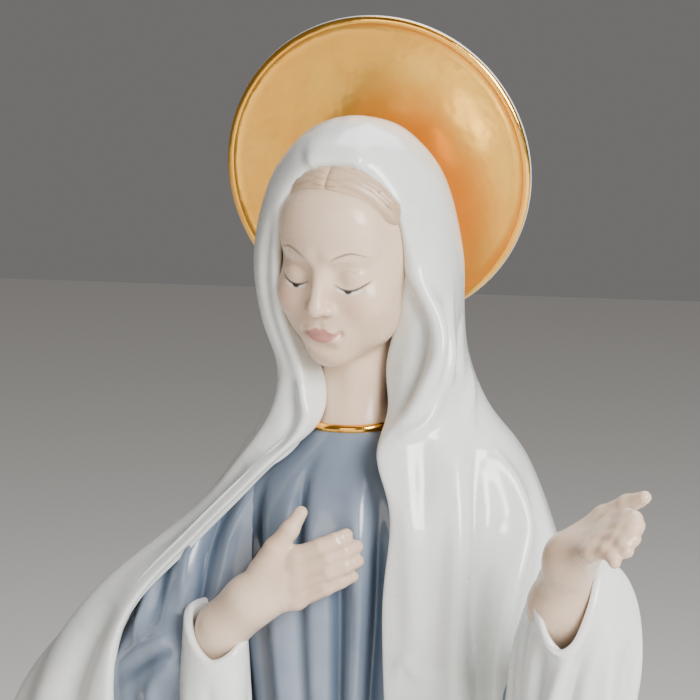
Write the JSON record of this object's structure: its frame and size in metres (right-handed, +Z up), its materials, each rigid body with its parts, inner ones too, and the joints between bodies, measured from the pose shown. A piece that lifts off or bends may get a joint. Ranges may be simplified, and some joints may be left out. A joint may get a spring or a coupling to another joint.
{
  "type": "madonna figurine",
  "caption": "Glazed porcelain madonna figurine: veiled figure with one hand on the heart and one held out, gilt halo behind the head, on a low cloud base.",
  "frame": {"origin": "centre of the flat foot under the base", "axes": "+Z up through the figure, which faces -Y with its right hand on the -X side"},
  "size_m": [0.1266, 0.1084, 0.3058],
  "materials": {
    "white_glaze": "gloss",
    "blue_glaze": "gloss",
    "skin_glaze": "satin",
    "hair_glaze": "satin",
    "gold_lustre": "gloss"
  },
  "bodies": {
    "root": {"base_plinth": "white_glaze", "cloud_mound": "white_glaze", "skirt": "blue_glaze", "bodice": "blue_glaze", "neckline_band": "gold_lustre", "head": "skin_glaze", "hair_front": "hair_glaze", "veil_hood": "white_glaze", "mantle_back": "white_glaze", "mantle_right_wing": "white_glaze", "mantle_left_front": "white_glaze", "right_sleeve": "blue_glaze", "right_cuff": "white_glaze", "right_hand": "skin_glaze", "left_sleeve": "blue_glaze", "left_cuff": "white_glaze", "left_hand": "skin_glaze", "halo_disc": "gold_lustre", "halo_rim": "white_glaze", "halo_peg": "white_glaze"}
  },
  "joints": []
}
